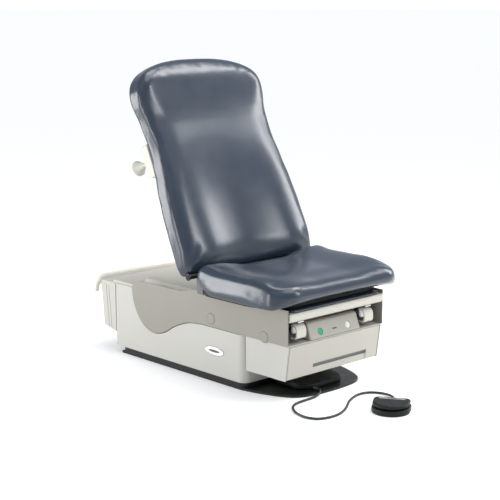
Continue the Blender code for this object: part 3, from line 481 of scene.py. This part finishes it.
def make_seat_pad():
    pad = pad_mesh("seat_upholstery", seat_outline(), (0.0, -0.440), seat_top, seat_under,
                   (0.036, 0.042), 0.012, "table")
    remeshed(pad, VOXEL)
    inflate(pad, lambda p: p.z < SEAT_OVER_BOARD + 0.004, 0.0070)
    softened(pad, 24)
    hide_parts("seat_cushion")
    return pad


def back_half_width(s):
    """Half width at a distance up the backrest, eased from key to key."""
    for (s0, w0), (s1, w1) in zip(BACK_WIDTHS, BACK_WIDTHS[1:]):
        if s <= s1:
            t = (s - s0) / (s1 - s0)
            return w0 + (w1 - w0) * t * t * (3 - 2 * t)
    return HEAD_HALF_WIDTH


def back_outline():
    half = [(back_half_width(BACK_START + (HEAD_START - BACK_START) * i / 28),
             BACK_START + (HEAD_START - BACK_START) * i / 28) for i in range(29)]
    half[0] = (half[0][0] - 0.004, half[0][1])
    reach = BACK_LENGTH - HEAD_START
    for i in range(1, 16):
        angle = math.pi / 2 * i / 16
        width = HEAD_HALF_WIDTH * math.cos(angle) ** (2 / HEAD_SQUARENESS)
        half.append((width, HEAD_START + reach * math.sin(angle) ** (2 / HEAD_SQUARENESS)))
    left = [(-x, s) for x, s in reversed(half)]
    return resampled(half + [(0.0, BACK_LENGTH)] + left, 180)


def back_face(point):
    """Front surface: a head roll, a hollow under it, and side bolsters that fade upwards."""
    across = abs(point.x)
    s = point.y
    roll = 0.0150 * swell(s, 0.832, 0.075)
    hollow = 0.0062 * swell(s, 0.650, 0.085)
    end = 0.0150 * (1 - smoothstep(0.010, 0.110, s))
    lumbar = 0.0040 * swell(s, 0.470, 0.130)
    low = 1 - smoothstep(0.120, 0.600, s)
    bolster = 0.0140 * low * swell(across, 0.238, 0.085)
    dish = 0.0150 * low * swell(across, 0.0, 0.125)
    return BACK_FACE + roll - hollow + lumbar + bolster - dish - end


def back_under(point, inside):
    mouth = point.y < 0.064 and abs(point.x) < 0.334
    return BACK_OVER_BOARD if inside or mouth else BACK_REAR


def make_back_pad():
    pad = pad_mesh("backrest_upholstery", back_outline(), (0.0, 0.450), back_face, back_under,
                   (0.028, 0.034), 0.018, "backrest")
    remeshed(pad, VOXEL)
    inflate(pad, lambda p: p.z < BACK_OVER_BOARD + 0.004, 0.0060)
    softened(pad, 20)
    lo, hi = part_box("hinge_tube")
    hinge = Vector((0.0, (lo.y + hi.y) / 2, (lo.z + hi.z) / 2))
    pad.data.transform(Matrix.Translation(hinge) @ Matrix.Rotation(BACK_ANGLE, 4, "X"))
    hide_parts("backrest_cushion")
    return pad


def make_footrest_pad():
    lo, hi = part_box("footrest_pad")
    corner = 0.020
    points = arc((hi.x - corner, hi.y - corner), corner, 0, 90, 6)
    points += arc((lo.x + corner, hi.y - corner), corner, 90, 180, 6)
    points += arc((lo.x + corner, lo.y + corner), corner, 180, 270, 6)
    points += arc((hi.x - corner, lo.y + corner), corner, 270, 360, 6)
    outline = resampled(points, 140)
    centre = (lo + hi) / 2

    def top(point):
        edge = min(hi.x - abs(point.x), point.y - lo.y, hi.y - point.y)
        return hi.z - 0.0004 - 0.0012 * (1 - smoothstep(0.0, 0.060, edge))

    def under(point, inside):
        return lo.z + 0.0002

    pad = pad_mesh("footrest_upholstery", outline, (centre.x, centre.y), top, under,
                   (0.0060, 0.0050), 0.004, "footrest")
    more = pad.modifiers.new("Subdivision", "SUBSURF")
    more.levels = 1
    more.render_levels = 1
    apply_modifiers(pad)
    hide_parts("footrest_pad")


# Cord --------------------------------------------------------------------------------------
def make_cord():
    points = spline_points(CORD_ROUTE, CORD_STEPS)
    curve = bpy.data.curves.new("foot_control_cord", "CURVE")
    curve.dimensions = "3D"
    curve.bevel_depth = CORD_RADIUS
    curve.bevel_resolution = 5
    curve.use_fill_caps = True
    line = curve.splines.new("POLY")
    line.points.add(len(points) - 1)
    for target, point in zip(line.points, points):
        target.co = (*point, 1.0)
    line.use_smooth = True
    curve.materials.append(MATERIALS["rubber"])
    cord = bpy.data.objects.new("foot_control_cord", curve)
    bpy.context.scene.collection.objects.link(cord)
    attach(cord, "base")
    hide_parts("foot_cord")


# Small details -----------------------------------------------------------------------------
def lathe(name, profile, place, key, body, sides=40):
    """Turn (radius, height) points about Z; the first and last points lie on the axis."""
    bm = bmesh.new()
    bottom = bm.verts.new((0.0, 0.0, profile[0][1]))
    top = bm.verts.new((0.0, 0.0, profile[-1][1]))
    rings = []
    for radius, height in profile[1:-1]:
        rings.append([bm.verts.new((radius * math.cos(2 * math.pi * i / sides),
                                    radius * math.sin(2 * math.pi * i / sides), height))
                      for i in range(sides)])
    for i in range(sides):
        j = (i + 1) % sides
        bm.faces.new((bottom, rings[0][j], rings[0][i]))
        bm.faces.new((top, rings[-1][i], rings[-1][j]))
        for lower, upper in zip(rings, rings[1:]):
            bm.faces.new((lower[i], lower[j], upper[j], upper[i]))
    bmesh.ops.transform(bm, matrix=place, verts=bm.verts)
    item = piece(name, bm, key, body)
    item.data.set_sharp_from_angle(angle=math.radians(40.0))
    return item


def facing_side(side, x, y, z):
    """Puts local +Z on the outward side normal."""
    return Matrix.Translation((side * x, y, z)) @ Matrix.Rotation(side * math.pi / 2, 4, "Y")


def make_panel_plugs():
    _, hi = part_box("side_panel_right")
    radius = PLUG_RADIUS
    disc = ((0.0, -0.0005), (radius - 0.0016, -0.0005), (radius - 0.0012, 0.0004),
            (radius - 0.0022, 0.0012), (radius - 0.0050, 0.0016), (0.0, 0.0019))
    # The ring under each plug is dark grey: painted shade standing in for the groove round the plug.
    ring = ((0.0, -0.0008), (radius, -0.0008), (radius, 0.00025), (radius - 0.0014, 0.00020),
            (0.0, 0.00015))
    for side, label in SIDES:
        for number, (y, z) in enumerate(PLUG_PLACES, 1):
            place = facing_side(side, hi.x, y, z)
            plug = lathe(f"panel_plug_{label}_{number}", disc, place, "beige", "table")
            groove_shade = lathe(f"panel_plug_gap_{label}_{number}", ring, place, "dark_grey", "table")


def oval(name, half_long, half_high, profile, place, key, body, sides=64):
    """A plate with an oval outline, built from (inset, height) rings; long axis is local Y."""
    bm = bmesh.new()
    rings = []
    for inset, height in profile:
        rings.append([bm.verts.new(((half_high - inset) * math.sin(2 * math.pi * i / sides),
                                    (half_long - inset) * math.cos(2 * math.pi * i / sides), height))
                      for i in range(sides)])
    for lower, upper in zip(rings, rings[1:]):
        for i in range(sides):
            j = (i + 1) % sides
            bm.faces.new((lower[i], lower[j], upper[j], upper[i]))
    bm.faces.new(rings[0])
    bm.faces.new(rings[-1])
    bmesh.ops.transform(bm, matrix=place, verts=bm.verts)
    item = piece(name, bm, key, body)
    item.data.set_sharp_from_angle(angle=math.radians(40.0))
    return item


def make_badges():
    _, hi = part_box("base_cover")
    for side, label in SIDES:
        place = facing_side(side, hi.x, *BADGE_PLACE)
        rim = oval("badge_rim_" + label, 0.0570, 0.0185,
                   ((0.0, -0.0004), (0.0, 0.0008), (0.0010, 0.0013), (0.0022, 0.0013)),
                   place, "dark_grey", "base")
        face = oval("badge_face_" + label, 0.0550, 0.0165,
                    ((0.0, 0.0002), (0.0, 0.0014), (0.0012, 0.0018), (0.0040, 0.0020)),
                    place, "white", "base")
        bar = oval("badge_bar_" + label, 0.0330, 0.0052,
                   ((0.0, 0.0010), (0.0, 0.0021), (0.0006, 0.0024), (0.0016, 0.0024)),
                   place, "dark_grey", "base")


def make_hinge_caps():
    """Turned end caps with a bolt head, on the ends of the hinge tube."""
    lo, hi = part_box("hinge_tube")
    centre = (lo + hi) / 2
    cap = ((0.0, -0.0030), (0.0140, -0.0030), (0.0148, 0.0006), (0.0132, 0.0020), (0.0100, 0.0023),
           (0.0088, 0.0009), (0.0066, 0.0008), (0.0056, 0.0028), (0.0, 0.0032))
    for side, label in SIDES:
        place = facing_side(side, hi.x, centre.y, centre.z)
        item = lathe("hinge_cap_" + label, cap, place, "enamel", "backrest")


def plate(name, outline, low, high, place, key, body, rim=0.0004):
    """A thin plate on an outline in local XY, between two heights, with a chamfered top edge."""
    count = len(outline)
    points = [Vector(p) for p in outline]
    inward = []
    for i in range(count):
        along = (points[(i + 1) % count] - points[i - 1]).normalized()
        inward.append(Vector((-along.y, along.x)))
    bm = bmesh.new()
    rings = []
    for inset, height in ((0.0, low), (0.0, high - rim), (rim, high)):
        rings.append([bm.verts.new((p.x + n.x * inset, p.y + n.y * inset, height))
                      for p, n in zip(points, inward)])
    for lower, upper in zip(rings, rings[1:]):
        for i in range(count):
            j = (i + 1) % count
            bm.faces.new((lower[i], lower[j], upper[j], upper[i]))
    bm.faces.new(rings[0])
    bm.faces.new(rings[-1])
    bmesh.ops.transform(bm, matrix=place, verts=bm.verts)
    item = piece(name, bm, key, body)
    item.data.set_sharp_from_angle(angle=math.radians(30.0))
    return item


def rounded_box(half_x, half_y, corner, steps=5):
    points = arc((half_x - corner, half_y - corner), corner, 0, 90, steps)
    points += arc((-half_x + corner, half_y - corner), corner, 90, 180, steps)
    points += arc((-half_x + corner, -half_y + corner), corner, 180, 270, steps)
    points += arc((half_x - corner, -half_y + corner), corner, 270, 360, steps)
    return points


def make_drawer_slot_shade():
    """A dark plate at the bottom of the drawer's finger slot: painted shade in the recess."""
    place = Matrix.Translation(SLOT_CENTRE) @ Matrix.Rotation(math.pi / 2, 4, "X")
    slot_shade_plate = plate("drawer_slot_painted_shade", rounded_box(0.1515, 0.0076, 0.002), 0.0, 0.0022, place,
                  "slot_painted_shade", "drawer")


def make_control_label():
    """A grey strip with a plain dark bar along the rear edge of the foot control's top."""
    lo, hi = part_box("foot_treadle")
    place = (Matrix.Translation((PEDAL[0], PEDAL[1], hi.z)) @ Matrix.Rotation(PEDAL_TURN, 4, "Z")
             @ Matrix.Translation((0.0, 0.0330, 0.0)))
    strip = plate("control_label", rounded_box(0.0500, 0.0085, 0.0040), -0.0003, 0.0005, place,
                  "label_grey", "treadle")
    bar = plate("control_label_bar", rounded_box(0.0180, 0.0032, 0.0030), 0.0002, 0.0008, place,
                "dark_grey", "treadle")


def make_module_mark():
    """A small plain dark bar between the two buttons."""
    slope = math.radians(90.0 - MODULE_SLOPE)
    place = Matrix.Translation((0.0, BUTTON_Y, BUTTON_Z)) @ Matrix.Rotation(slope, 4, "X")
    bar = plate("module_mark", rounded_box(0.0120, 0.0028, 0.0012), -0.0003, 0.0004, place,
                "dark_grey", "table", 0.0002)


# Studio ------------------------------------------------------------------------------------
# Each sun: name, azimuth, elevation, strength, angle.
SUNS = (
    ("key", 20.0, 70.0, 1.10, 40.0),
    ("fill", -70.0, 50.0, 0.25, 50.0),
)
# Each softbox: name, azimuth, elevation, distance, width, height, power.
SOFTBOXES = (
    ("right_panel", 68.0, 24.0, 3.6, 0.8, 1.9, 45.0),
    ("front_panel", 23.0, 24.0, 3.6, 0.5, 1.6, 32.0),
    ("top_panel", 64.0, 55.0, 3.2, 1.1, 1.2, 40.0),
    ("crown_panel", 130.0, 78.0, 3.0, 1.7, 0.8, 22.0),
    ("side_panel", -99.0, 3.0, 3.8, 0.45, 1.5, 24.0),
    ("left_panel", -130.0, 6.0, 3.8, 1.3, 1.8, 66.0),
)


def make_camera():
    data = bpy.data.cameras.new("Camera")
    data.lens = LENS
    camera = bpy.data.objects.new("Camera", data)
    bpy.context.scene.collection.objects.link(camera)
    camera.location = EYE
    look = Vector(TARGET) - Vector(EYE)
    camera.rotation_euler = look.to_track_quat("-Z", "Y").to_euler()
    data.clip_end = 500.0
    bpy.context.scene.camera = camera


def softbox(name, azimuth, elevation, distance, width, height, power):
    """An area light round the table: azimuth 0 stands at -Y, and 90 at +X."""
    turn = math.radians(azimuth)
    rise = math.radians(elevation)
    away = Vector((math.sin(turn) * math.cos(rise), -math.cos(turn) * math.cos(rise), math.sin(rise)))
    centre = Vector((0.0, 0.0, 0.60))
    data = bpy.data.lights.new(name, "AREA")
    data.shape = "RECTANGLE"
    data.size = width
    data.size_y = height
    data.energy = power
    lamp = bpy.data.objects.new(name, data)
    bpy.context.scene.collection.objects.link(lamp)
    lamp.location = centre + away * distance
    lamp.rotation_euler = (-away).to_track_quat("-Z", "Y").to_euler()


def sun(name, azimuth, elevation, strength, angle):
    turn = math.radians(azimuth)
    rise = math.radians(elevation)
    away = Vector((math.sin(turn) * math.cos(rise), -math.cos(turn) * math.cos(rise), math.sin(rise)))
    data = bpy.data.lights.new(name, "SUN")
    data.energy = strength
    data.angle = math.radians(angle)
    lamp = bpy.data.objects.new(name, data)
    bpy.context.scene.collection.objects.link(lamp)
    lamp.rotation_euler = (-away).to_track_quat("-Z", "Y").to_euler()


def make_floor():
    bm = bmesh.new()
    bmesh.ops.create_grid(bm, x_segments=1, y_segments=1, size=200.0)
    mesh = bpy.data.meshes.new("floor")
    bm.to_mesh(mesh)
    bm.free()
    floor = bpy.data.objects.new("floor", mesh)
    bpy.context.scene.collection.objects.link(floor)
    floor.location = (0.0, 0.0, -0.0005)
    made = bpy.data.materials.new("studio_floor")
    made.use_nodes = True
    shader = made.node_tree.nodes["Principled BSDF"]
    shader.inputs["Base Color"].default_value = (0.80, 0.795, 0.785, 1.0)
    shader.inputs["Roughness"].default_value = 0.75
    shader.inputs["Specular IOR Level"].default_value = 0.0
    shader.inputs["Emission Color"].default_value = (1.0, 0.985, 0.955, 1.0)
    shader.inputs["Emission Strength"].default_value = 0.27
    mesh.materials.append(made)


def make_world():
    world = bpy.data.worlds.new("studio")
    bpy.context.scene.world = world
    world.use_nodes = True
    nodes = world.node_tree.nodes
    link = world.node_tree.links.new
    shade = nodes["Background"]
    place = nodes.new("ShaderNodeTexCoord")
    split = nodes.new("ShaderNodeSeparateXYZ")
    link(place.outputs["Generated"], split.inputs["Vector"])
    ramp = nodes.new("ShaderNodeValToRGB")
    ramp.color_ramp.elements[0].position = 0.03
    ramp.color_ramp.elements[0].color = (1.05, 1.05, 1.05, 1.0)
    ramp.color_ramp.elements[1].position = 0.25
    ramp.color_ramp.elements[1].color = (0.46, 0.50, 0.58, 1.0)
    link(split.outputs["Z"], ramp.inputs["Fac"])
    link(ramp.outputs["Color"], shade.inputs["Color"])
    shade.inputs["Strength"].default_value = 1.0


def make_studio():
    make_floor()
    make_world()
    for values in SUNS:
        sun(*values)
    for values in SOFTBOXES:
        softbox(*values)
    bpy.context.scene.view_settings.view_transform = "Standard"


make_camera()
make_cord()
make_studio()
finish_frame()
make_seat_pad()
make_back_pad()
make_footrest_pad()
make_panel_plugs()
make_badges()
make_hinge_caps()
make_drawer_slot_shade()
make_control_label()
make_module_mark()
